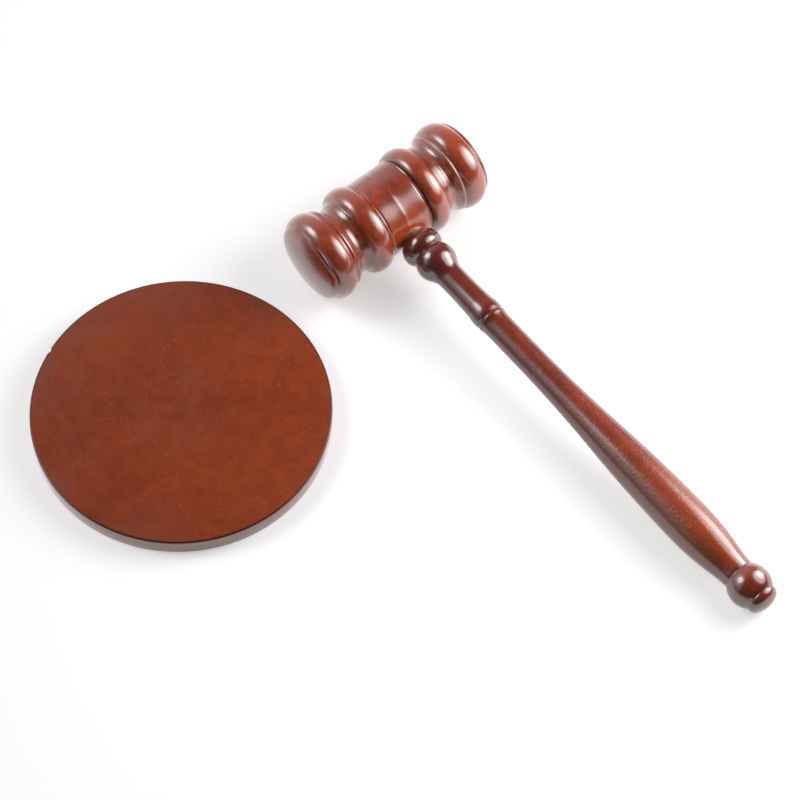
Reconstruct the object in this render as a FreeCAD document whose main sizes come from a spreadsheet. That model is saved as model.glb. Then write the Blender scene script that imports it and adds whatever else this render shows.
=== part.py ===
import FreeCAD, Part
import math
import os
import Sketcher

# Gavel with its round sound block. Lengths in millimetres, angles in degrees.
# The origin is the centre of the block's underside, +Z is up, the handle runs along +X
# and the head lies along Y.

BLOCK_SIZES = {
    "block_diameter": 121.4,
    "block_thickness": 8.0,
    "block_arris": 0.8,
}

# How far the gavel lies from the block, and how far its head's middle lies to one side of it
LAYOUT_SIZES = {
    "gavel_gap": 19.3,
    "gavel_shift": 13.9,
}

# The head, from its middle out to one striking face
HEAD_SIZES = {
    "barrel_waist_radius": 17.3,
    "barrel_end_radius": 17.5,
    "barrel_half_width": 9.8,
    "barrel_cut_radius": 17.05,
    "barrel_cut_width": 0.35,
    "inner_bead_start_radius": 17.75,
    "inner_bead_start_width": 0.3,
    "inner_bead_radius": 19.6,
    "inner_bead_rise_width": 4.55,
    "inner_bead_end_radius": 16.75,
    "inner_bead_fall_width": 4.4,
    "cove_start_radius": 15.95,
    "cove_step_width": 0.3,
    "cove_radius": 15.2,
    "cove_fall_width": 3.2,
    "cove_end_radius": 16.9,
    "cove_rise_width": 4.0,
    "ring_side_radius": 17.4,
    "ring_step_width": 0.2,
    "ring_bevel_width": 0.2,
    "ring_radius": 17.55,
    "ring_top_width": 0.3,
    "ring_cut_radius": 17.1,
    "ring_cut_width": 0.3,
    "end_bead_start_radius": 17.6,
    "end_bead_start_width": 0.25,
    "end_bead_radius": 19.6,
    "end_bead_rise_width": 5.45,
    "end_bead_end_radius": 18.05,
    "end_bead_fall_width": 5.1,
    "face_line_radius": 17.55,
    "face_line_width": 0.2,
    "face_edge_radius": 17.75,
    "face_edge_angle": 60.0,
    "face_round_radius": 4.8,
    "face_dome_radius": 58.0,
}

# The joint between head and handle
JOINT_SIZES = {
    "tenon_radius": 4.5,
    "tenon_width": 19.4,
    "tenon_tip_radius": 3.9,
    "tenon_tip_width": 0.6,
    "glue_gap": 0.1,
    "mortise_end_gap": 1.5,
    "seat_depth": 1.4,
    "seat_clearance": 0.6,
    "bead_standoff": 0.1,
}

# The handle, from its shoulder to the end button
HANDLE_SIZES = {
    "shoulder_radius": 5.5,
    "first_bead_radius": 8.9,
    "first_bead_rise_width": 5.7,
    "first_bead_fall_width": 3.8,
    "bead_cut_radius": 7.15,
    "second_bead_radius": 8.6,
    "second_bead_rise_width": 4.7,
    "second_bead_fall_width": 4.65,
    "neck_radius": 5.7,
    "neck_sweep_width": 4.85,
    "neck_end_radius": 6.15,
    "neck_width": 20.5,
    "collar_radius": 6.68,
    "collar_rise_width": 1.6,
    "collar_side_radius": 6.45,
    "collar_fall_width": 1.7,
    "collar_cut_radius": 6.05,
    "collar_cut_width": 0.35,
    "fillet_start_radius": 6.3,
    "fillet_start_width": 0.3,
    "fillet_radius": 6.45,
    "fillet_rise_width": 0.75,
    "shaft_start_radius": 6.08,
    "fillet_fall_width": 1.3,
    "waist_radius": 5.95,
    "shaft_width": 19.1,
    "grip_hollow_width": 49.0,
    "grip_radius": 9.5,
    "grip_swell_width": 48.2,
    "grip_fall_width": 21.5,
    "grip_end_radius": 6.7,
    "grip_tuck_width": 6.9,
    "grip_end_width": 0.6,
    "pommel_radius": 9.1,
    "pommel_rise_width": 6.2,
    "pommel_fall_width": 6.4,
    "pommel_cut_radius": 6.6,
    "button_radius": 6.75,
    "button_rise_width": 0.5,
    "button_round_radius": 3.4,
    "button_dome_radius": 10.5,
}

SIZES = {**BLOCK_SIZES, **LAYOUT_SIZES, **HEAD_SIZES, **JOINT_SIZES, **HANDLE_SIZES}

# A turned outline is a chain of points, each given by the named widths that lead to it and by its
# named radius. "line" is a straight stretch, "crown" an arc that arrives level, at the top of a bead
# or the bottom of a cove, and "leave" an arc that leaves level. A point without a radius lies where
# the arcs on its two sides run into each other smoothly.
HEAD_OUTLINE = (
    ("leave", ("barrel_half_width",), "barrel_end_radius"),
    ("line", ("barrel_cut_width",), "barrel_cut_radius"),
    ("line", ("inner_bead_start_width",), "inner_bead_start_radius"),
    ("crown", ("inner_bead_rise_width",), "inner_bead_radius"),
    ("leave", ("inner_bead_fall_width",), "inner_bead_end_radius"),
    ("line", ("cove_step_width",), "cove_start_radius"),
    ("crown", ("cove_fall_width",), "cove_radius"),
    ("leave", ("cove_rise_width",), "cove_end_radius"),
    ("line", ("ring_step_width",), "ring_side_radius"),
    ("line", ("ring_bevel_width",), "ring_radius"),
    ("line", ("ring_top_width",), "ring_radius"),
    ("line", ("ring_bevel_width",), "ring_side_radius"),
    ("line", ("ring_cut_width",), "ring_cut_radius"),
    ("line", ("end_bead_start_width",), "end_bead_start_radius"),
    ("crown", ("end_bead_rise_width",), "end_bead_radius"),
    ("leave", ("end_bead_fall_width",), "end_bead_end_radius"),
    ("line", ("face_line_width",), "face_line_radius"),
    ("line", ("face_line_width",), "face_edge_radius"),
)

TENON_OUTLINE = (
    ("line", ("tenon_tip_width",), "tenon_radius"),
    ("line", ("tenon_width",), "tenon_radius"),
    ("line", (), "shoulder_radius"),
)

SHAFT_OUTLINE = (
    ("line", ("seat_depth", "bead_standoff"), "shoulder_radius"),
    ("crown", ("first_bead_rise_width",), "first_bead_radius"),
    ("leave", ("first_bead_fall_width",), "bead_cut_radius"),
    ("crown", ("second_bead_rise_width",), "second_bead_radius"),
    ("leave", ("second_bead_fall_width",), None),
    ("crown", ("neck_sweep_width",), "neck_radius"),
    ("leave", ("neck_width",), "neck_end_radius"),
    ("crown", ("collar_rise_width",), "collar_radius"),
    ("leave", ("collar_fall_width",), "collar_side_radius"),
    ("line", ("collar_cut_width",), "collar_cut_radius"),
    ("line", ("fillet_start_width",), "fillet_start_radius"),
    ("crown", ("fillet_rise_width",), "fillet_radius"),
    ("leave", ("fillet_fall_width",), "shaft_start_radius"),
    ("crown", ("shaft_width",), "waist_radius"),
    ("leave", ("grip_hollow_width",), None),
    ("crown", ("grip_swell_width",), "grip_radius"),
    ("leave", ("grip_fall_width",), None),
    ("crown", ("grip_tuck_width",), "grip_end_radius"),
    ("line", ("grip_end_width",), "grip_end_radius"),
    ("crown", ("pommel_rise_width",), "pommel_radius"),
)

POMMEL_END_OUTLINE = (
    ("leave", ("pommel_fall_width",), "pommel_cut_radius"),
    ("crown", ("button_rise_width",), "button_radius"),
)


def width_names(outline):
    return tuple(name for kind, widths, radius in outline for name in widths)


TENON_LENGTH = width_names(TENON_OUTLINE)
BORE_DEPTH = TENON_LENGTH + ("mortise_end_gap", "seat_depth")
HEAD_HEIGHT = "max(Sizes.inner_bead_radius; Sizes.end_bead_radius)"


def add_sizes(doc):
    """The driving dimensions, each a plain number in a cell with an alias."""
    sheet = doc.addObject("Spreadsheet::Sheet", "Sizes")
    for row, (name, value) in enumerate(SIZES.items(), start=1):
        sheet.set(f"A{row}", name.replace("_", " "))
        sheet.set(f"B{row}", str(value))
        sheet.setAlias(f"B{row}", name)
    doc.recompute()
    return sheet


def cell(name):
    return "Sizes." + name


def total(names):
    """An expression that adds up cells."""
    return "(" + " + ".join(cell(name) for name in names) + ")"


def total_size(names):
    return sum(SIZES[name] for name in names)


def origin_plane(body, role):
    for feature in body.Origin.OriginFeatures:
        if feature.Role == role:
            return feature
    raise ValueError(role)


def add_body(doc, label):
    body = doc.addObject("PartDesign::Body", label)
    body.Label = label
    return body


def add_sketch(body, name, role):
    sketch = body.newObject("Sketcher::SketchObject", name)
    sketch.AttachmentSupport = [(origin_plane(body, role), "")]
    sketch.MapMode = "FlatFace"
    return sketch


def bind(sketch, constraint, name, expression):
    """Add a dimension and tie it to cells of the sheet."""
    index = sketch.addConstraint(constraint)
    sketch.renameConstraint(index, name)
    sketch.setExpression("Constraints." + name, expression)


def level_arc(start, end, crown_at_end):
    """The centre and radius of the arc from start to end that is level at its crown."""
    crown, foot = (end, start) if crown_at_end else (start, end)
    run = foot.x - crown.x
    rise = foot.y - crown.y
    offset = (run * run + rise * rise) / (rise + rise)
    return FreeCAD.Vector(crown.x, crown.y + offset, 0), abs(offset)


def arc_geometry(centre, radius, start, end):
    """The shorter arc from start to end, and the ends' numbers in the sketch."""
    circle = Part.Circle(centre, FreeCAD.Vector(0, 0, 1), radius)
    turn = (start - centre).cross(end - centre).z
    first, last = (start, end) if turn > 0 else (end, start)
    angles = [math.atan2(point.y - centre.y, point.x - centre.x) for point in (first, last)]
    ends = (1, 2) if turn > 0 else (2, 1)
    return Part.ArcOfCircle(circle, angles[0], angles[1]), ends


class TurnedOutline:
    """Half the outline of a turned piece, drawn outwards from the sketch's origin along X."""

    def __init__(self, sketch):
        self.sketch = sketch
        self.here = FreeCAD.Vector()
        self.last = None
        self.count = 0
        self.floating = False

    def join(self, geometry, start, end):
        """Put a piece of outline after the last one."""
        kind = "Tangent" if self.floating else "Coincident"
        self.sketch.addConstraint(Sketcher.Constraint(kind, *self.last, geometry, start))
        self.last = (geometry, end)
        self.floating = False

    def first_point(self, radius_name):
        """The line from the axis out to the first radius."""
        self.here = FreeCAD.Vector(0, SIZES[radius_name], 0)
        line = self.sketch.addGeometry(Part.LineSegment(FreeCAD.Vector(), self.here), False)
        self.sketch.addConstraint(Sketcher.Constraint("Coincident", line, 1, -1, 1))
        self.sketch.addConstraint(Sketcher.Constraint("Vertical", line))
        radius = Sketcher.Constraint("DistanceY", -1, 1, line, 2, self.here.y)
        bind(self.sketch, radius, "start_radius", cell(radius_name))
        self.last = (line, 2)

    def add(self, outline):
        for number, (kind, widths, radius_name) in enumerate(outline):
            if radius_name:
                height = SIZES[radius_name]
            else:
                height = self.smooth_height(outline[number + 1], widths)
            point = FreeCAD.Vector(self.here.x + total_size(widths), height, 0)
            if kind == "line":
                geometry = self.sketch.addGeometry(Part.LineSegment(self.here, point), False)
                start, end = 1, 2
            else:
                centre, radius = level_arc(self.here, point, kind == "crown")
                arc, (start, end) = arc_geometry(centre, radius, self.here, point)
                geometry = self.sketch.addGeometry(arc, False)
                crown = (geometry, end) if kind == "crown" else (geometry, start)
            self.join(geometry, start, end)
            if kind != "line":
                self.sketch.addConstraint(Sketcher.Constraint("Vertical", geometry, 3, *crown))
            self.place(geometry, start, end, widths, radius_name, point)
            self.floating = radius_name is None
            self.here = point

    def smooth_height(self, following, widths):
        """Two level arcs meet smoothly where both have the same slope."""
        share = total_size(widths) / (total_size(widths) + total_size(following[1]))
        return self.here.y + (SIZES[following[2]] - self.here.y) * share

    def place(self, geometry, start, end, widths, radius_name, point):
        """Dimension the end of a piece of outline."""
        self.count += 1
        if widths:
            width = Sketcher.Constraint("DistanceX", geometry, start, geometry, end, total_size(widths))
            bind(self.sketch, width, f"width_{self.count}", total(widths))
        else:
            self.sketch.addConstraint(Sketcher.Constraint("Vertical", geometry))
        if radius_name:
            radius = Sketcher.Constraint("DistanceY", -1, 1, geometry, end, point.y)
            bind(self.sketch, radius, f"radius_{self.count}", cell(radius_name))

    def dome(self, round_name, dome_name, edge_angle):
        """Round the edge over into a domed end and close the outline along the axis."""
        round_radius = SIZES[round_name]
        dome_radius = SIZES[dome_name]
        slope = math.radians(SIZES[edge_angle] if edge_angle else 90)
        inward = FreeCAD.Vector(math.cos(slope), math.sin(slope), 0) * round_radius
        round_centre = self.here - inward
        reach = math.sqrt((dome_radius - round_radius) ** 2 - round_centre.y ** 2)
        dome_centre = FreeCAD.Vector(round_centre.x - reach, 0, 0)
        outward = (round_centre - dome_centre).normalize()
        shared = dome_centre + outward * dome_radius
        tip = dome_centre + FreeCAD.Vector(dome_radius, 0, 0)

        arc, (start, end) = arc_geometry(round_centre, round_radius, self.here, shared)
        edge = self.sketch.addGeometry(arc, False)
        edge_start = self.last
        self.join(edge, start, end)
        size = Sketcher.Constraint("Radius", edge, round_radius)
        bind(self.sketch, size, round_name, cell(round_name))
        if edge_angle:
            level = Sketcher.Constraint("DistanceX", edge, 3, edge, start, inward.x)
            bind(self.sketch, level, edge_angle, f"{cell(round_name)} * cos({cell(edge_angle)} * 1 deg)")
        else:
            self.sketch.addConstraint(Sketcher.Constraint("Vertical", edge, 3, *edge_start))

        arc, (start, end) = arc_geometry(dome_centre, dome_radius, shared, tip)
        dome = self.sketch.addGeometry(arc, False)
        self.floating = True
        self.join(dome, start, end)
        size = Sketcher.Constraint("Radius", dome, dome_radius)
        bind(self.sketch, size, dome_name, cell(dome_name))
        self.sketch.addConstraint(Sketcher.Constraint("PointOnObject", dome, 3, -1))
        self.sketch.addConstraint(Sketcher.Constraint("PointOnObject", dome, end, -1))

        axis = self.sketch.addGeometry(Part.LineSegment(tip, FreeCAD.Vector()), False)
        self.sketch.addConstraint(Sketcher.Constraint("Coincident", dome, end, axis, 1))
        self.sketch.addConstraint(Sketcher.Constraint("Coincident", axis, 2, -1, 1))


def revolve(body, sketch):
    turned = body.newObject("PartDesign::Revolution", "Turned")
    turned.Profile = sketch
    turned.ReferenceAxis = (sketch, ["H_Axis"])
    turned.Angle = 360
    return turned


def make_block(doc):
    """The sound block, a thin disc with softly rounded edges."""
    body = add_body(doc, "sound_block")
    sketch = add_sketch(body, "BlockSketch", "XY_Plane")
    radius = SIZES["block_diameter"] / 2
    circle = sketch.addGeometry(Part.Circle(FreeCAD.Vector(), FreeCAD.Vector(0, 0, 1), radius), False)
    sketch.addConstraint(Sketcher.Constraint("Coincident", circle, 3, -1, 1))
    diameter = Sketcher.Constraint("Diameter", circle, SIZES["block_diameter"])
    bind(sketch, diameter, "block_diameter", cell("block_diameter"))

    disc = body.newObject("PartDesign::Pad", "Disc")
    disc.Profile = sketch
    disc.setExpression("Length", cell("block_thickness"))
    doc.recompute()

    rims = [f"Edge{number}" for number, edge in enumerate(disc.Shape.Edges, start=1) if edge.isClosed()]
    arris = body.newObject("PartDesign::Fillet", "Arris")
    arris.Base = (disc, rims)
    arris.setExpression("Radius", cell("block_arris"))
    return body


def make_head(doc):
    """The head, half of it turned and mirrored, then bored for the handle."""
    body = add_body(doc, "gavel_head")
    sketch = add_sketch(body, "HeadOutline", "YZ_Plane")
    outline = TurnedOutline(sketch)
    outline.first_point("barrel_waist_radius")
    outline.add(HEAD_OUTLINE)
    outline.dome("face_round_radius", "face_dome_radius", "face_edge_angle")
    half = revolve(body, sketch)

    whole = body.newObject("PartDesign::Mirrored", "BothEnds")
    whole.Originals = [half]
    whole.MirrorPlane = (origin_plane(body, "XZ_Plane"), [""])
    body.Tip = whole

    # The flat seat and the mortise behind it are bored from the barrel's side
    sketch = add_sketch(body, "BoreSketch", "YZ_Plane")
    sketch.setExpression("AttachmentOffset.Base.z", cell("barrel_waist_radius"))
    circle = Part.Circle(FreeCAD.Vector(), FreeCAD.Vector(0, 0, 1), SIZES["tenon_radius"])
    mouth = sketch.addGeometry(circle, False)
    sketch.addConstraint(Sketcher.Constraint("Coincident", mouth, 3, -1, 1))
    radius = Sketcher.Constraint("Radius", mouth, SIZES["tenon_radius"])
    bind(sketch, radius, "tenon_radius", cell("tenon_radius"))
    doc.recompute()
    solid_volume = whole.Shape.Volume

    bore = body.newObject("PartDesign::Hole", "Bore")
    bore.Profile = sketch
    bore.Threaded = False
    bore.DepthType = "Dimension"
    bore.DrillPoint = "Angled"
    bore.HoleCutType = "Counterbore"
    bore.setExpression("Diameter", f"2 * {total(('tenon_radius', 'glue_gap'))}")
    bore.setExpression("Depth", total(BORE_DEPTH))
    bore.setExpression("HoleCutDiameter", f"2 * {total(('shoulder_radius', 'seat_clearance'))}")
    bore.setExpression("HoleCutDepth", cell("seat_depth"))
    doc.recompute()
    tenon_volume = math.pi * SIZES["tenon_radius"] ** 2 * total_size(TENON_LENGTH)
    if solid_volume - bore.Shape.Volume < tenon_volume:
        raise RuntimeError("the mortise isn't cut")
    return body


def make_handle(doc):
    """The handle, turned in one piece with its tenon."""
    body = add_body(doc, "gavel_handle")
    sketch = add_sketch(body, "HandleOutline", "XZ_Plane")
    outline = TurnedOutline(sketch)
    outline.first_point("tenon_tip_radius")
    outline.add(TENON_OUTLINE + SHAFT_OUTLINE + POMMEL_END_OUTLINE)
    outline.dome("button_round_radius", "button_dome_radius", None)
    revolve(body, sketch)
    return body


def drop_angle(reach, radius):
    """The handle's slope when a swelling of this radius, this far from the head's axis, touches down."""
    return f"asin({HEAD_HEIGHT} / sqrt({reach} ^ 2 + {radius} ^ 2)) - atan({radius} / {reach})"


def lay_gavel(head, handle):
    """Rest the gavel on the beads of its head and on its pommel, beside the block."""
    seat = f"({cell('barrel_waist_radius')} - {cell('seat_depth')})"
    to_pommel = f"({seat} + {total(width_names(SHAFT_OUTLINE))})"
    grip_stop = [point[2] for point in SHAFT_OUTLINE].index("grip_radius") + 1
    to_grip = f"({seat} + {total(width_names(SHAFT_OUTLINE[:grip_stop]))})"
    drop = f"min({drop_angle(to_pommel, cell('pommel_radius'))}; {drop_angle(to_grip, cell('grip_radius'))})"
    middle = f"{cell('block_diameter')} / 2 + {cell('gavel_gap')} + {total(width_names(HEAD_OUTLINE))}"
    setback = f"({seat} - {total(TENON_LENGTH)})"
    for body, forward in ((head, "0"), (handle, setback)):
        # A turn from up to forward is about +Y, the axis that the expression's angle then uses
        body.Placement.Rotation = FreeCAD.Rotation(FreeCAD.Vector(0, 0, 1), FreeCAD.Vector(1, 0, 0))
        body.setExpression("Placement.Rotation.Angle", drop)
        body.setExpression("Placement.Base.x", f"{forward} * cos({drop}) - {cell('gavel_shift')}")
        body.setExpression("Placement.Base.y", middle)
        body.setExpression("Placement.Base.z", f"{HEAD_HEIGHT} - {forward} * sin({drop})")


def check(doc, bodies):
    """Stop before anything is written if a feature failed or a sketch isn't fully set."""
    for item in doc.Objects:
        if "Invalid" in item.State or "Error" in item.State:
            raise RuntimeError(f"{item.Name} failed: {item.State}")
        if item.isDerivedFrom("Sketcher::SketchObject") and not item.FullyConstrained:
            raise RuntimeError(f"{item.Name} isn't fully constrained")
    for body in bodies:
        if body.Shape.isNull() or not body.Shape.isValid() or len(body.Shape.Solids) != 1:
            raise RuntimeError(f"{body.Label} isn't one valid solid")


document = FreeCAD.newDocument("gavel")
add_sizes(document)
block = make_block(document)
head = make_head(document)
handle = make_handle(document)
lay_gavel(head, handle)
document.recompute()
pieces = (block, head, handle)
check(document, pieces)

os.makedirs("parts", exist_ok=True)
for piece in pieces:
    piece.Shape.exportStep(f"parts/{piece.Label}.step")
    print(piece.Label, "volume", round(piece.Shape.Volume))
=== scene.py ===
import bmesh
import bpy
import math
from mathutils import Matrix, Vector


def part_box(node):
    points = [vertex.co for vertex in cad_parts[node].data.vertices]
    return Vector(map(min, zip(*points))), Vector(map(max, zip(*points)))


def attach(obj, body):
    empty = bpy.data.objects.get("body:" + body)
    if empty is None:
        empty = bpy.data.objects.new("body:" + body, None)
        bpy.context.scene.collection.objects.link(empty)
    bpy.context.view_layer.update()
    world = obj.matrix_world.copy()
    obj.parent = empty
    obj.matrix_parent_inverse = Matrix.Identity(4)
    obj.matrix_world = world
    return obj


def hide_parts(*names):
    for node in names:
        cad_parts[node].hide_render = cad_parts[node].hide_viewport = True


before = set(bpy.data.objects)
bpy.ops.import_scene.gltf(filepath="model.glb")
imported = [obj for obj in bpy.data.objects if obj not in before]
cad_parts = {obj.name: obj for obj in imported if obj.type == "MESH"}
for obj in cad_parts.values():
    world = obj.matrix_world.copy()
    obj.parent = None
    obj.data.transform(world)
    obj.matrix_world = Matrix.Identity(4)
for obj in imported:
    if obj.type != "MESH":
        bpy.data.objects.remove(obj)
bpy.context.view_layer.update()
mm = 0.001
quarterTurn = math.pi / 2

turning = {
    "fewestSteps": 4, "mostSteps": 24, "stepsPerMm": 1.6, "fewestArcSteps": 2,  # how finely a run is drawn
    "weld": 0.00001,  # points closer than this, in metres, become one
}


def sweepBetween(first, last):
    turn = math.atan2(last.y, last.x) - math.atan2(first.y, first.x)
    return (turn + math.pi) % (2 * math.pi) - math.pi


class Outline:
    # half the outline of a turned piece, drawn outwards along X with the radius along Y

    def __init__(self, radius, arcStep):
        self.bm = bmesh.new()
        self.tip = self.bm.verts.new((0, radius * mm, 0))
        self.arcStep = math.radians(arcStep)

    def line(self, there):
        self.bm.verts.ensure_lookup_table()
        made = bmesh.ops.extrude_vert_indiv(self.bm, verts=[self.tip])["verts"]
        bmesh.ops.translate(self.bm, verts=made, vec=there - self.tip.co)
        self.tip = made[0]

    def arc(self, centre, sweep):
        steps = max(turning["fewestArcSteps"], math.ceil(abs(sweep) / self.arcStep))
        made = bmesh.ops.spin(self.bm, geom=[self.tip], cent=centre, axis=(0, 0, 1), angle=sweep, steps=steps)
        self.tip = made["geom_last"][0]

    def trace(self, stations):
        # a smooth run through stations of reach, radius and slope
        for (x0, r0, s0), (x1, r1, s1) in zip(stations, stations[1:]):
            width = x1 - x0
            steps = round(width * turning["stepsPerMm"])
            steps = max(turning["fewestSteps"], min(turning["mostSteps"], steps))
            for step in range(1, steps + 1):
                t = step / steps
                rise = t * t * (3 - 2 * t)
                lean = width * (s0 * t * (1 - t) * (1 - t) - s1 * t * t * (1 - t))
                self.line(Vector((x0 + width * t, r0 + (r1 - r0) * rise + lean, 0)) * mm)

    def dome(self, roundRadius, domeRadius, slope):
        # rounds the edge over into a domed end, down to the axis
        here = self.tip.co.copy()
        edge = math.radians(slope)
        roundCentre = here - Vector((math.cos(edge), math.sin(edge), 0)) * roundRadius * mm
        reach = math.sqrt(((domeRadius - roundRadius) * mm) ** 2 - roundCentre.y ** 2)
        domeCentre = Vector((roundCentre.x - reach, 0, 0))
        shared = domeCentre + (roundCentre - domeCentre).normalized() * domeRadius * mm
        self.arc(roundCentre, sweepBetween(here - roundCentre, shared - roundCentre))
        self.arc(domeCentre, sweepBetween(shared - domeCentre, Vector((1, 0, 0))))


def spinPiece(bm, around):
    bmesh.ops.remove_doubles(bm, verts=bm.verts, dist=turning["weld"])
    bmesh.ops.spin(
        bm, geom=bm.verts[:] + bm.edges[:], cent=(0, 0, 0), axis=(1, 0, 0),
        angle=2 * math.pi, steps=around, use_merge=True,
    )
    bmesh.ops.remove_doubles(bm, verts=bm.verts, dist=turning["weld"])
    bmesh.ops.recalc_face_normals(bm, faces=bm.faces)


def capEnds(bm):
    rims = [edge for edge in bm.edges if edge.is_boundary]
    bmesh.ops.holes_fill(bm, edges=rims, sides=0)


def layDown(bm, turn, place=(0, 0, 0)):
    bmesh.ops.rotate(bm, verts=bm.verts, cent=(0, 0, 0), matrix=turn)
    bmesh.ops.translate(bm, verts=bm.verts, vec=place)
    bmesh.ops.recalc_face_normals(bm, faces=bm.faces)


def finishPiece(bm, name, body, node, material):
    mesh = bpy.data.meshes.new(name)
    bm.normal_update()
    bm.to_mesh(mesh)
    bm.free()
    mesh.shade_smooth()
    piece = bpy.data.objects.new(name, mesh)
    bpy.context.scene.collection.objects.link(piece)
    mesh.materials.append(material)
    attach(piece, body)
    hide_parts(node)
    print(name, "faces", len(mesh.polygons))


class Signal:
    # a socket that takes part in sums

    def __init__(self, finish, socket):
        self.finish = finish
        self.socket = socket

    def maths(self, operation, first, second):
        return self.finish.add("ShaderNodeMath", {"operation": operation}, {0: first, 1: second})

    def __add__(self, other):
        return self.maths("ADD", self, other)

    def __radd__(self, other):
        return self.maths("ADD", other, self)

    def __sub__(self, other):
        return self.maths("SUBTRACT", self, other)

    def __rsub__(self, other):
        return self.maths("SUBTRACT", other, self)

    def __mul__(self, other):
        return self.maths("MULTIPLY", self, other)

    def __rmul__(self, other):
        return self.maths("MULTIPLY", other, self)


class Finish:
    # a material and the one way of adding nodes to it

    def __init__(self, name, tree=None):
        if tree is None:
            self.material = bpy.data.materials.new(name)
            self.material.use_nodes = True
            tree = self.material.node_tree
        self.tree = tree
        self.tree.nodes.clear()

    def add(self, kind, settings=None, values=None, output=0):
        node = self.tree.nodes.new(kind)
        for key, value in (settings or {}).items():
            if key == "stops":
                self.setStops(node.color_ramp, value)
            else:
                setattr(node, key, value)
        for key, value in (values or {}).items():
            if isinstance(value, Signal):
                self.tree.links.new(value.socket, node.inputs[key])
            else:
                node.inputs[key].default_value = value
        return Signal(self, node.outputs[output] if len(node.outputs) else None)

    def setStops(self, ramp, stops):
        while len(ramp.elements) > 1:
            ramp.elements.remove(ramp.elements[-1])
        for number, (place, shade) in enumerate(stops):
            element = ramp.elements[0] if number == 0 else ramp.elements.new(place)
            element.position = place
            element.color = (shade, shade, shade, 1)

    def local(self, place, turn):
        # the piece's own directions: X along its axis or its grain
        coordinates = self.add("ShaderNodeTexCoord", output="Object")
        return self.turned(coordinates, place, turn)

    def turned(self, vector, place, turn):
        return self.add("ShaderNodeMapping", {"vector_type": "TEXTURE"},
                        {"Vector": vector, "Location": place, "Rotation": turn})

    def stretch(self, vector, scale):
        return self.add("ShaderNodeVectorMath", {"operation": "MULTIPLY"}, {0: vector, 1: scale})

    def noise(self, vector, scale, detail, roughness=0.55):
        return self.add("ShaderNodeTexNoise", None,
                        {"Vector": vector, "Scale": scale, "Detail": detail, "Roughness": roughness})

    def spots(self, vector, scale, detail, edge, softness):
        return self.ramp(self.noise(vector, scale, detail), [(edge, 0), (edge + softness, 1)])

    def ramp(self, value, stops):
        # a ramp runs from 0 to 1, so a length is first divided by its span
        return self.add("ShaderNodeValToRGB", {"stops": stops}, {0: value})

    def blend(self, share, first, second):
        # 6, 7 and 2 are the colour sockets of the Mix node
        return self.add("ShaderNodeMix", {"data_type": "RGBA"}, {0: share, 6: first, 7: second}, output=2)

    def length(self, vector):
        return self.add("ShaderNodeVectorMath", {"operation": "LENGTH"}, {0: vector}, output="Value")

    def dot(self, first, second):
        return self.add("ShaderNodeVectorMath", {"operation": "DOT_PRODUCT"},
                        {0: first, 1: second}, output="Value")

    def part(self, vector, axis):
        return self.add("ShaderNodeSeparateXYZ", None, {0: vector}, output=axis)

    def finish(self, shader):
        self.add("ShaderNodeOutputMaterial", None, {"Surface": shader})
        return self.material


stain = {
    # what the three pieces share
    "blotchDetail": 3, "blotchShare": 0.5, "blotchMiddle": 0.5, "shades": [(0.36, 0), (0.64, 1)],
    "grainDetail": 4, "grainRoughness": 0.65, "streaks": [(0.35, 0), (0.7, 1)],
    "poreDetail": 2, "poreSoftness": 0.08, "speckDetail": 1, "speckSoftness": 0.04, "peelDetail": 2,
}


def stainedWood(name, look, place, turn, zones):
    # opaque red-brown stain under lacquer, with the grain along the local X
    wood = Finish(name)
    local = wood.local(place, turn)
    blotch = wood.noise(local, look["blotchScale"], stain["blotchDetail"])
    cloud = wood.noise(local, look["cloudScale"], stain["blotchDetail"])
    along = wood.stretch(local, (look["grainStretch"], 1, 1))
    grain = wood.noise(along, look["grainScale"], stain["grainDetail"], stain["grainRoughness"])
    streaks = wood.ramp(grain, stain["streaks"])
    pores = wood.spots(along, look["poreScale"], stain["poreDetail"], look["poreEdge"], stain["poreSoftness"])
    specks = wood.spots(local, look["speckScale"], stain["speckDetail"], look["speckEdge"],
                        stain["speckSoftness"])
    shade = wood.ramp(blotch * stain["blotchShare"] + cloud * (1 - stain["blotchShare"]), stain["shades"])
    colour = wood.blend(shade, look["dark"], look["light"])
    colour = wood.blend(streaks * look["grainDepth"], colour, look["deep"])
    colour = wood.blend(pores * look["poreDepth"], colour, look["deep"])
    colour = wood.blend(specks * look["speckDepth"], colour, look["speck"])
    peel = wood.noise(local, look["peelScale"], stain["peelDetail"])
    zone = {
        "colour": colour,
        "rough": look["roughness"] + (blotch - stain["blotchMiddle"]) * look["roughnessSpread"],
        "height": peel + grain * look["grainRelief"],
    }
    zones(wood, look, local, zone)
    bump = wood.add("ShaderNodeBump", None, {
        "Strength": look["bump"], "Distance": look["bumpDepth"], "Height": zone["height"],
    })
    shader = wood.add("ShaderNodeBsdfPrincipled", None, {
        "Base Color": zone["colour"], "Roughness": zone["rough"], "Normal": bump, "IOR": look["ior"],
        "Coat Weight": zone["coat"], "Coat Roughness": look["coatRoughness"], "Coat IOR": look["coatIor"],
    })
    return wood.finish(shader)


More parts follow.
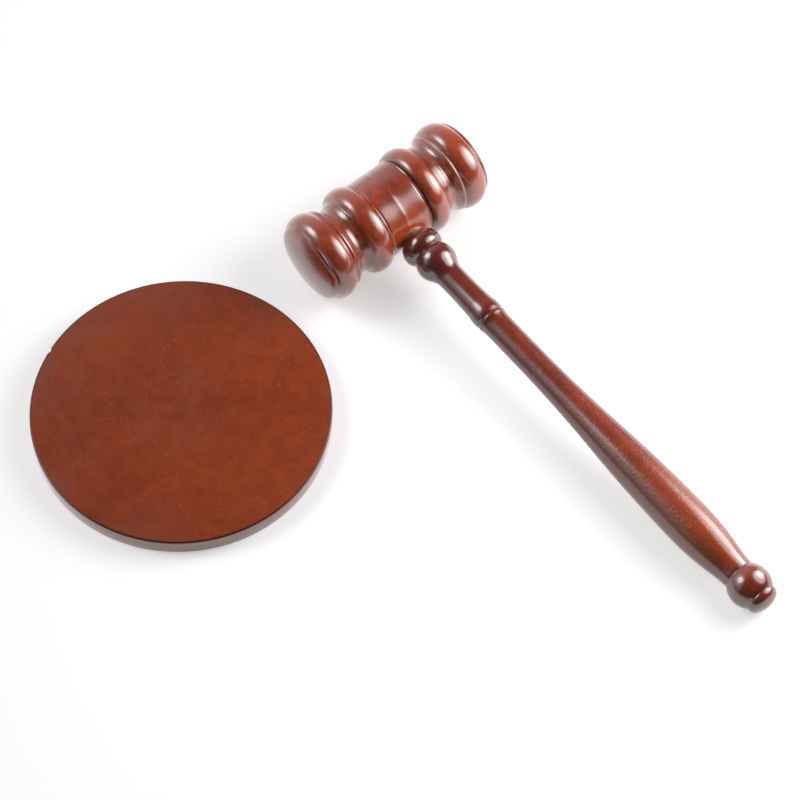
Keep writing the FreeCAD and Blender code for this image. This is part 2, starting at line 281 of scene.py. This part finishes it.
print("sound block")
blockPlan = {
    # shape, in millimetres and degrees
    "radius": 60.7, "thickness": 8.0, "arris": 0.8, "around": 480, "arcStep": 15,
    "nickTurn": 203, "nickWidth": 1.3, "nickDepth": 0.75, "nickBand": 0.97,
    # stain and lacquer, with lengths in metres
    "dark": (0.237, 0.032, 0.006, 1), "light": (0.345, 0.047, 0.007, 1), "deep": (0.138, 0.023, 0.007, 1),
    "speck": (0.42, 0.12, 0.045, 1), "haze": (0.242, 0.061, 0.035, 1), "edge": (0.045, 0.012, 0.008, 1),
    "scratch": (0.289, 0.088, 0.041, 1), "grainTurn": 0.6,
    "blotchScale": 21, "cloudScale": 170, "grainStretch": 0.3, "grainScale": 520, "grainDepth": 0.22,
    "poreScale": 1100, "poreEdge": 0.63, "poreDepth": 0.35,
    "speckScale": 560, "speckEdge": 0.71, "speckDepth": 0.5,
    "roughness": 0.31, "roughnessSpread": 0.16, "peelScale": 700, "grainRelief": 0.5,
    "bump": 0.25, "bumpDepth": 0.0002, "ior": 1.5, "coatRoughness": 0.1, "coatIor": 1.7,
    "sideCoat": 1.0, "sideRough": 0.4,
    # where the top, its dark edge, the haze and the scuffs lie: radius and height over their spans
    "radiusSpan": 0.1, "heightSpan": 0.01, "middle": 0.5, "top": [(0.7, 0), (0.775, 1)],
    "edgeRadius": [(0.5995, 0), (0.602, 1)], "edgeHeight": [(0.745, 0), (0.765, 1)],
    "hazeDepth": 0.85, "hazeRadius": [(0.3, 0), (0.48, 0.4), (0.58, 1)], "hazeSide": [(0.1, 0.2), (0.8, 1)],
    "hazeNoise": (62, 4, 0.55), "hazePatches": [(0.4, 0.1), (0.6, 1)],
    "scuffDepth": 0.45, "scuffRadius": [(0.08, 1), (0.32, 0)],
    "scuffNoise": (110, 5, 0.65), "scuffPatches": [(0.4, 0), (0.6, 1)],
    "scratchDepth": 0.6, "scratchTurns": (0.5, 1.9, 2.6), "scratchScale": 1500, "scratchStretch": 0.05,
    "scratchDetail": 1, "scratchEdge": 0.67, "scratchSoftness": 0.05,
    "scratchNoise": (60, 1), "scratchPatches": [(0.5, 0), (0.6, 1)],
}


def blockZones(wood, look, local, zone):
    # the top is worn dull, hazy towards its rim and scuffed in the middle, and the side keeps its lacquer
    height = wood.part(local, "Z") * (1 / look["heightSpan"])
    radius = wood.length(wood.stretch(local, (1, 1, 0))) * (1 / look["radiusSpan"])
    across = wood.part(local, "X") * (-1 / look["radiusSpan"]) + look["middle"]
    top = wood.ramp(height, look["top"])
    edge = wood.ramp(radius, look["edgeRadius"]) * wood.ramp(height, look["edgeHeight"])
    patches = wood.ramp(wood.noise(local, *look["hazeNoise"]), look["hazePatches"])
    haze = patches * wood.ramp(radius, look["hazeRadius"]) * wood.ramp(across, look["hazeSide"])
    scuffs = wood.ramp(wood.noise(local, *look["scuffNoise"]), look["scuffPatches"])
    scuffs = scuffs * wood.ramp(radius, look["scuffRadius"])
    faded = (haze * look["hazeDepth"] + scuffs * look["scuffDepth"]) * top
    colour = wood.blend(faded, zone["colour"], look["haze"])
    for turn in look["scratchTurns"]:
        turned = wood.turned(local, (0, 0, 0), (0, 0, turn))
        lines = wood.stretch(turned, (look["scratchStretch"], 1, 1))
        marks = wood.spots(lines, look["scratchScale"], look["scratchDetail"], look["scratchEdge"],
                           look["scratchSoftness"])
        where = wood.ramp(wood.noise(turned, *look["scratchNoise"]), look["scratchPatches"])
        colour = wood.blend(marks * where * look["scratchDepth"] * top, colour, look["scratch"])
    zone["colour"] = wood.blend(edge, colour, look["edge"])
    zone["coat"] = (1 - top) * look["sideCoat"]
    zone["rough"] = zone["rough"] * (top * (1 - look["sideRough"]) + look["sideRough"])


arris = blockPlan["arris"]
inner = blockPlan["radius"] - arris
upper = blockPlan["thickness"] - arris
blockOutline = Outline(inner, blockPlan["arcStep"])
blockOutline.arc(Vector((arris, inner, 0)) * mm, -quarterTurn)
blockOutline.line(Vector((upper, blockPlan["radius"], 0)) * mm)
blockOutline.arc(Vector((upper, inner, 0)) * mm, -quarterTurn)
blockMesh = blockOutline.bm
spinPiece(blockMesh, blockPlan["around"])
capEnds(blockMesh)
layDown(blockMesh, Matrix.Rotation(-quarterTurn, 3, "Y"))

# a small nick in the rim
nickAngle = math.radians(blockPlan["nickTurn"])
nick = Vector((math.cos(nickAngle), math.sin(nickAngle), 0)) * blockPlan["radius"] * mm
for vert in blockMesh.verts:
    near = (vert.co - nick).xy.length / (blockPlan["nickWidth"] * mm)
    if near < 1 and vert.co.xy.length > blockPlan["radius"] * mm * blockPlan["nickBand"]:
        vert.co -= nick.normalized() * (1 - near) * blockPlan["nickDepth"] * mm
blockFinish = stainedWood("blockFinish", blockPlan, (0, 0, 0), (0, 0, blockPlan["grainTurn"]), blockZones)
finishPiece(blockMesh, "blockDisc", "block", "sound_block", blockFinish)


print("head")
headPlan = {
    # shape, in millimetres and degrees
    "around": 168, "arcStep": 7, "dome": (3.4, 61.0, 54),  # edge radius, dome radius, slope at the edge
    # reach from the head's middle, radius and slope, for the half near the block and then the far half
    "near": [
        (0.0, 17.26, 0.08), (0.55, 17.34, 0.2), (1.2, 17.42, 0.0), (2.6, 17.38, -0.02), (8.9, 17.42, 0.0),
        (9.5, 17.32, -0.35), (9.8, 17.24, 0.0), (10.15, 17.4, 0.5), (10.4, 17.47, 0.0),
        (10.65, 17.25, -1.2), (10.8, 17.15, 0.0), (11.0, 17.4, 1.8), (11.5, 18.6, 0.62), (15.05, 19.6, 0.0),
        (18.75, 18.58, -0.62), (19.75, 17.1, -2.0), (20.1, 16.5, -0.9), (20.6, 16.25, -0.2),
        (22.0, 15.7, -0.5), (23.6, 15.2, 0.0), (25.2, 15.5, 0.36), (27.3, 16.8, 0.95), (28.3, 17.5, 0.35),
        (28.8, 17.6, 0.0), (29.3, 17.5, -0.2), (29.7, 17.45, 0.0), (30.2, 17.62, 0.5), (30.9, 18.28, 1.1),
        (32.0, 19.05, 0.45), (34.6, 19.6, 0.0), (38.9, 18.1, -0.84), (39.4, 17.45, -1.4),
        (39.75, 17.12, 0.0), (40.15, 17.22, 0.2), (40.45, 17.02, -0.73),
    ],
    "far": [
        (0.0, 17.26, -0.08), (0.7, 17.23, 0.0), (8.6, 17.42, 0.0), (9.15, 17.3, -0.4), (9.5, 17.2, 0.0),
        (9.85, 17.35, 0.5), (10.1, 17.42, 0.0), (10.3, 17.1, -2.2), (10.5, 16.8, 0.0), (10.75, 17.2, 2.2),
        (11.3, 18.55, 0.7), (14.9, 19.6, 0.0), (18.6, 18.58, -0.62), (19.6, 17.1, -2.0),
        (19.95, 16.45, -1.0), (20.4, 16.2, -0.12), (22.0, 16.02, -0.12), (22.7, 15.86, -0.28),
        (23.3, 15.62, -0.44), (24.2, 15.35, 0.0), (25.3, 15.6, 0.5), (26.5, 16.5, 1.05), (27.3, 17.3, 0.75),
        (27.85, 17.72, 0.0), (28.45, 17.5, -0.5), (28.75, 17.22, -0.9), (28.88, 17.16, 0.0),
        (29.1, 17.4, 1.1), (29.7, 18.1, 1.05), (30.7, 18.84, 0.5), (33.9, 19.6, 0.0), (38.8, 17.95, -0.82),
        (39.35, 17.25, -1.4), (39.75, 16.9, 0.0), (40.1, 17.0, 0.2), (40.4, 16.85, -0.73),
    ],
    # stain and lacquer, with lengths in metres
    "dark": (0.202, 0.022, 0.009, 1), "light": (0.487, 0.063, 0.015, 1), "deep": (0.096, 0.013, 0.007, 1),
    "speck": (0.56, 0.144, 0.056, 1), "groove": (0.07, 0.013, 0.009, 1), "worn": (0.496, 0.088, 0.028, 1),
    "blotchScale": 90, "cloudScale": 260, "grainStretch": 0.35, "grainScale": 800, "grainDepth": 0.3,
    "poreScale": 1300, "poreEdge": 0.62, "poreDepth": 0.5,
    "speckScale": 1000, "speckEdge": 0.67, "speckDepth": 0.2,
    "roughness": 0.24, "roughnessSpread": 0.1, "peelScale": 900, "grainRelief": 0.4,
    "bump": 0.15, "bumpDepth": 0.0002, "ior": 1.45, "coat": 1.0, "coatRoughness": 0.22, "coatIor": 1.85,
    "warm": (0.6, 0.09, 0.012, 1), "bare": (0.62, 0.27, 0.17, 1),
    # where each shade lies: length and radius over their spans, with the head's middle at 0.5
    "lengthSpan": 0.1, "middle": 0.5, "radiusSpan": 0.02,
    "grooveDepth": 0.6, "grooves": [
        (0.0985, 0), (0.1025, 0.7), (0.107, 0), (0.2, 0), (0.203, 0.3), (0.206, 0),
        (0.286, 0), (0.293, 0.9), (0.3, 0.8), (0.308, 0), (0.39, 0), (0.3915, 0.6), (0.393, 0),
        (0.601, 0), (0.604, 1), (0.61, 0.9), (0.618, 0.2), (0.628, 0), (0.693, 0), (0.7, 0.8), (0.7055, 0.6),
        (0.712, 0), (0.786, 0), (0.7885, 0.8), (0.791, 0), (0.894, 0), (0.8975, 0.8), (0.9, 0),
    ],
    "wornDepth": 0.2, "crowns": [(0.87, 0), (0.965, 1)], "lowDepth": 0.35, "low": [(0.77, 1), (0.82, 0)],
    "barrelCoat": 0.05, "barrelRough": 0.06, "barrel": [(0.395, 0), (0.42, 1), (0.58, 1), (0.597, 0)],
    # the seat line is partly bare wood and partly a painted highlight
    "seatShift": (0, 0, 0.0008), "seatDepth": 0.6, "seatRing": [(0.31, 1), (0.33, 0)],
    # painted glow round the handle's seat, on the handle's side
    "warmDepth": 0.6, "warmRing": [(0.4, 1), (0.8, 0)], "handleSide": [(0.5, 0), (0.6, 1)],
    "coveDepth": 0.3, "coveNoise": (260, 4, 0.6), "covePatches": [(0.4, 0), (0.62, 1)], "coves": [
        (0.205, 0), (0.235, 0.5), (0.268, 1), (0.284, 0), (0.712, 0), (0.728, 1), (0.76, 1), (0.77, 0),
    ],
    "ringDepth": 0.65, "farRing": [(0.7725, 0), (0.7755, 1), (0.7865, 1), (0.789, 0)],
}


def headZones(wood, look, local, zone):
    # the turned lines and the bottoms of the coves are darker, the crowns are rubbed lighter and the barrel
    # is less glossy
    along = wood.part(local, "X") * (1 / look["lengthSpan"]) + look["middle"]
    radius = wood.length(wood.stretch(local, (0, 1, 1))) * (1 / look["radiusSpan"])
    colour = wood.blend(wood.ramp(radius, look["crowns"]) * look["wornDepth"], zone["colour"], look["worn"])
    colour = wood.blend(wood.ramp(radius, look["low"]) * look["lowDepth"], colour, look["groove"])

    # painted glow round the handle's seat, and a light line round the seat that is partly bare wood and
    # partly a painted highlight
    seat = wood.add("ShaderNodeVectorMath", {"operation": "ADD"}, {0: local, 1: look["seatShift"]})
    around = wood.length(wood.stretch(seat, (1, 0, 1))) * (1 / look["radiusSpan"])
    handleSide = wood.ramp(wood.part(local, "Y") * (-1 / look["radiusSpan"]), look["handleSide"])
    warmRing = wood.ramp(around, look["warmRing"]) * handleSide
    seatRing = wood.ramp(around, look["seatRing"]) * handleSide
    colour = wood.blend(warmRing * look["warmDepth"], colour, look["warm"])
    colour = wood.blend(seatRing * look["seatDepth"], colour, look["bare"])

    # the coves are rubbed through in patches, and the far ring more evenly
    rubbed = wood.ramp(wood.noise(local, *look["coveNoise"]), look["covePatches"])
    colour = wood.blend(wood.ramp(along, look["coves"]) * rubbed * look["coveDepth"], colour, look["bare"])
    colour = wood.blend(wood.ramp(along, look["farRing"]) * look["ringDepth"], colour, look["bare"])
    darkLines = wood.ramp(along, look["grooves"]) * look["grooveDepth"]
    zone["colour"] = wood.blend(darkLines, colour, look["groove"])
    barrel = wood.ramp(along, look["barrel"])
    zone["coat"] = look["coat"] - barrel * look["barrelCoat"]
    zone["rough"] = zone["rough"] + barrel * look["barrelRough"]


headLow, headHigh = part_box("gavel_head")
headCentre = (headLow + headHigh) / 2
headOutline = Outline(headPlan["near"][0][1], headPlan["arcStep"])
first = headOutline.tip
headOutline.trace(headPlan["near"])
headOutline.dome(*headPlan["dome"])
bmesh.ops.scale(headOutline.bm, vec=(-1, 1, 1), verts=headOutline.bm.verts)
headOutline.tip = first
headOutline.trace(headPlan["far"])
headOutline.dome(*headPlan["dome"])
headMesh = headOutline.bm
spinPiece(headMesh, headPlan["around"])
layDown(headMesh, Matrix.Rotation(quarterTurn, 3, "Z"), headCentre)
headFinish = stainedWood("headFinish", headPlan, headCentre[:], (0, 0, quarterTurn), headZones)
finishPiece(headMesh, "turnedHead", "gavel", "gavel_head", headFinish)


print("handle")
handlePlan = {
    # shape, in millimetres and degrees
    "around": 112, "arcStep": 6, "button": (3.4, 10.5, 90),  # edge radius, dome radius, slope at the edge
    "pommelReach": 219.1, "pommelRadius": 9.1, "beadHeight": 19.6,
    # reach from the head's axis, radius and slope
    "stations": [
        (15.9, 5.5, 0.0), (17.2, 5.5, 0.0), (18.3, 6.75, 1.15), (20.5, 8.36, 0.44), (23.1, 8.9, 0.0),
        (25.5, 8.29, -0.55), (26.75, 7.22, -1.1), (26.95, 7.12, 0.0), (27.2, 7.25, 0.68), (29.2, 8.25, 0.3),
        (31.6, 8.6, 0.0), (36.25, 7.18, -0.67), (41.1, 5.7, 0.0), (49.0, 5.74, 0.03), (56.0, 6.0, 0.05),
        (58.3, 6.13, 0.08), (60.4, 6.38, 0.15), (62.6, 6.62, 0.03), (64.6, 6.5, -0.2), (65.05, 6.2, -1.1),
        (65.4, 5.98, 0.0), (65.75, 6.22, 0.9), (66.25, 6.42, 0.1), (67.8, 6.15, -0.14), (72.0, 5.98, -0.01),
        (86.7, 5.97, 0.0), (135.7, 7.8, 0.0732), (183.9, 9.56, 0.0), (205.4, 7.6, -0.18),
        (212.3, 6.95, -0.03), (212.75, 6.88, 0.0), (213.05, 6.98, 0.8), (213.6, 7.3, 0.76),
        (216.0, 8.56, 0.36), (219.1, 9.1, 0.0), (222.5, 8.47, -0.39), (225.2, 6.85, -0.9),
        (225.5, 6.65, 0.0), (225.8, 6.75, 0.3), (226.0, 6.78, 0.0),
    ],
    # stain and lacquer, with lengths in metres
    "dark": (0.158, 0.015, 0.006, 1), "light": (0.313, 0.035, 0.006, 1), "deep": (0.066, 0.01, 0.007, 1),
    "speck": (0.492, 0.164, 0.082, 1), "cherry": (0.113, 0.007, 0.006, 1), "groove": (0.035, 0.008, 0.007, 1),
    "blotchScale": 70, "cloudScale": 340, "grainStretch": 0.3, "grainScale": 1400, "grainDepth": 0.2,
    "poreScale": 1700, "poreEdge": 0.66, "poreDepth": 0.3,
    "speckScale": 1100, "speckEdge": 0.7, "speckDepth": 0.12,
    "roughness": 0.26, "roughnessSpread": 0.1, "peelScale": 900, "grainRelief": 0.4,
    "bump": 0.8, "bumpDepth": 0.0003, "ior": 1.45, "coat": 1.0, "coatRoughness": 0.17, "coatIor": 1.85,
    # shade is the colour of the painted shade on the handle's front and back sides
    "amber": (0.46, 0.069, 0.008, 1), "shade": (0.07, 0.022, 0.015, 1), "bare": (0.4, 0.16, 0.1, 1),
    # where each shade lies: the reach from the head's axis over its span
    "lengthSpan": 0.25, "amberDepth": 0.45, "amberReach": [(0.5, 0), (0.7, 0.7), (0.84, 1), (0.852, 0.3)],
    "cherryDepth": 0.85, "cherryReach": [
        (0.0, 1), (0.14, 1), (0.2, 0.6), (0.258, 0.45), (0.268, 0.2), (0.36, 0), (0.8, 0), (0.85, 0.35),
        (1.0, 0.45),
    ],
    # painted shade: the side facing the front is darkened, and the back side less
    "shadeDepth": 0.68, "shadeAim": (0, -0.985, -0.17), "nearFlank": [(0.15, 0), (0.65, 1)],
    "farFlank": [(0.5, 0), (0.9, 0.4)],
    "grooveDepth": 0.7, "grooves": [
        (0.104, 0), (0.1075, 0.7), (0.111, 0),
        (0.2595, 0), (0.2612, 1), (0.2628, 0), (0.845, 0), (0.85, 1), (0.8525, 1), (0.858, 0),
        (0.897, 0), (0.902, 0.8), (0.907, 0),
    ],
    # the light band here is partly bare wood and partly a painted highlight
    "bareDepth": 0.8, "shoulder": [(0.0705, 1), (0.0735, 0)],
    "gripRough": 0.06, "gripCoat": 0.58,
    "grip": [(0.1, 0.1), (0.2, 0.35), (0.36, 1), (0.82, 1), (0.86, 0.35)],
}


def handleZones(wood, look, local, zone):
    # the turned neck is stained to a dark cherry, the grip is more orange and less smooth, and the front and
    # back sides are darkened as painted shade
    reach = wood.part(local, "X") * (1 / look["lengthSpan"])
    outward = wood.stretch(local, (0, 1, 1))
    around = wood.add("ShaderNodeVectorMath", {"operation": "NORMALIZE"}, {0: outward})
    # painted shade, set by which way the surface faces round the handle
    facing = wood.dot(around, look["shadeAim"])
    paintedFlankShade = wood.ramp(facing, look["nearFlank"]) + wood.ramp(0 - facing, look["farFlank"])
    amber, cherry = wood.ramp(reach, look["amberReach"]), wood.ramp(reach, look["cherryReach"])
    colour = wood.blend(amber * look["amberDepth"], zone["colour"], look["amber"])
    colour = wood.blend(cherry * look["cherryDepth"], colour, look["cherry"])
    colour = wood.blend(paintedFlankShade * look["shadeDepth"], colour, look["shade"])
    colour = wood.blend(wood.ramp(reach, look["grooves"]) * look["grooveDepth"], colour, look["groove"])
    zone["colour"] = wood.blend(wood.ramp(reach, look["shoulder"]) * look["bareDepth"], colour, look["bare"])
    grip = wood.ramp(reach, look["grip"])
    zone["rough"] = zone["rough"] + grip * look["gripRough"]
    zone["coat"] = look["coat"] - grip * (look["coat"] - look["gripCoat"])
    zone["height"] = zone["height"] * grip


# the head rests on its beads and the handle on its pommel
reach, radius = handlePlan["pommelReach"], handlePlan["pommelRadius"]
tilt = math.asin(handlePlan["beadHeight"] / math.hypot(reach, radius)) - math.atan(radius / reach)

stations = handlePlan["stations"]
handleOutline = Outline(stations[0][1], handlePlan["arcStep"])
bmesh.ops.translate(handleOutline.bm, verts=handleOutline.bm.verts, vec=(stations[0][0] * mm, 0, 0))
handleOutline.trace(stations)
handleOutline.dome(*handlePlan["button"])
handleMesh = handleOutline.bm
spinPiece(handleMesh, handlePlan["around"])
capEnds(handleMesh)
layDown(handleMesh, Matrix.Rotation(tilt, 3, "Y"), headCentre)
handleFinish = stainedWood("handleFinish", handlePlan, headCentre[:], (0, tilt, 0), handleZones)
finishPiece(handleMesh, "turnedHandle", "gavel", "gavel_handle", handleFinish)


print("stage")
stagePlan = {
    # table, sky and lights
    "floorRadius": 12.0, "floorSides": 96, "floor": (0.93, 0.94, 0.945, 1), "bounce": (0.72, 0.72, 0.72, 1),
    "white": (1.0, 1.0, 1.0, 1), "shadowShare": 0.8, "glow": 2.22,
    "sky": [(0.0, 0.06), (0.45, 0.12), (0.95, 0.8)], "skyAim": (-0.98, 0.05, 0.1),
    "suns": [
        {"azimuth": -54, "elevation": 41, "size": 26, "power": 0.75},
        {"azimuth": -53, "elevation": 39, "size": 37, "power": 0.4},
        {"azimuth": -50, "elevation": 32, "size": 54, "power": 0.3},
        {"azimuth": -20, "elevation": 22, "size": 30, "power": 0.08},
    ],
    "softboxAim": (0.06, 0.1, 0.02),
    "softboxes": [
        {"place": (0.182, 0.487, 0.255), "size": 0.2, "power": 0.25},
        {"place": (0.185, 0.487, 0.255), "size": 0.31, "power": 0.7},
        {"place": (0.227, 0.44, 0.305), "size": 0.48, "power": 1.75},
        {"place": (0.13, 0.53, 0.11), "size": 0.22, "power": 0.2},
    ],
    # camera
    "azimuth": 49.176, "elevation": 60.0, "roll": 0.633, "distance": 1.3363,
    "target": (0.049895, 0.072732, 0), "lens": 148.8, "sensor": 36, "nearest": 0.05, "farthest": 50,
}
floorBm = bmesh.new()
bmesh.ops.create_circle(
    floorBm, cap_ends=True, radius=stagePlan["floorRadius"], segments=stagePlan["floorSides"],
)
floorMesh = bpy.data.meshes.new("tableTop")
floorBm.to_mesh(floorMesh)
floorBm.free()
floor = bpy.data.objects.new("tableTop", floorMesh)
bpy.context.scene.collection.objects.link(floor)


def tableFinish():
    # the table lights the object as plain white paint, and looks white itself with a faint shadow
    table = Finish("tableFinish")
    paint = table.add("ShaderNodeBsdfDiffuse", None, {"Color": stagePlan["floor"]})
    bounce = table.add("ShaderNodeBsdfDiffuse", None, {"Color": stagePlan["bounce"]})
    glow = table.add("ShaderNodeEmission", None, {"Color": stagePlan["white"], "Strength": stagePlan["glow"]})
    seen = table.add("ShaderNodeMixShader", None, {0: stagePlan["shadowShare"], 1: glow, 2: paint})
    camera = table.add("ShaderNodeLightPath", output="Is Camera Ray")
    glossy = table.add("ShaderNodeLightPath", output="Is Glossy Ray")
    transmitted = table.add("ShaderNodeLightPath", output="Is Transmission Ray")
    looking = camera + glossy + transmitted
    return table.finish(table.add("ShaderNodeMixShader", None, {0: looking, 1: bounce, 2: seen}))


floorMesh.materials.append(tableFinish())


def aim(azimuth, elevation):
    a, e = math.radians(azimuth), math.radians(elevation)
    return Vector((math.sin(a) * math.cos(e), -math.cos(a) * math.cos(e), math.sin(e)))


def addLamp(name, kind, place, towards, power):
    light = bpy.data.lights.new(name, kind)
    light.energy = power
    lamp = bpy.data.objects.new(name, light)
    lamp.rotation_euler = (place - towards).to_track_quat("Z", "Y").to_euler()
    lamp.location = place
    lamp.visible_camera = False
    bpy.context.scene.collection.objects.link(lamp)
    return light


# each light has a bright middle and a dim surround, as a lamp behind cloth has
for sun in stagePlan["suns"]:
    sunLight = addLamp("sun", "SUN", aim(sun["azimuth"], sun["elevation"]), Vector(), sun["power"])
    sunLight.angle = math.radians(sun["size"])
softboxAim = Vector(stagePlan["softboxAim"])
for softbox in stagePlan["softboxes"]:
    boxLight = addLamp("softbox", "AREA", Vector(softbox["place"]), softboxAim, softbox["power"])
    boxLight.shape = "DISK"
    boxLight.size = softbox["size"]

world = bpy.data.worlds.new("studio")
world.use_nodes = True
sky = Finish("studio", world.node_tree)
direction = sky.add("ShaderNodeTexCoord", output="Generated")
shade = sky.ramp(sky.dot(direction, stagePlan["skyAim"]), stagePlan["sky"])
background = sky.add("ShaderNodeBackground", None, {"Color": shade})
sky.add("ShaderNodeOutputWorld", None, {"Surface": background})
bpy.context.scene.world = world

cameraData = bpy.data.cameras.new("camera")
cameraData.lens = stagePlan["lens"]
cameraData.sensor_width = stagePlan["sensor"]
cameraData.clip_start = stagePlan["nearest"]
cameraData.clip_end = stagePlan["farthest"]
camera = bpy.data.objects.new("camera", cameraData)
bpy.context.scene.collection.objects.link(camera)
back = aim(stagePlan["azimuth"], stagePlan["elevation"])
turn = back.to_track_quat("Z", "Y").to_matrix() @ Matrix.Rotation(math.radians(stagePlan["roll"]), 3, "Z")
place = Vector(stagePlan["target"]) + back * stagePlan["distance"]
camera.matrix_world = Matrix.Translation(place) @ turn.to_4x4()
bpy.context.scene.camera = camera
bpy.context.scene.view_settings.view_transform = "Standard"
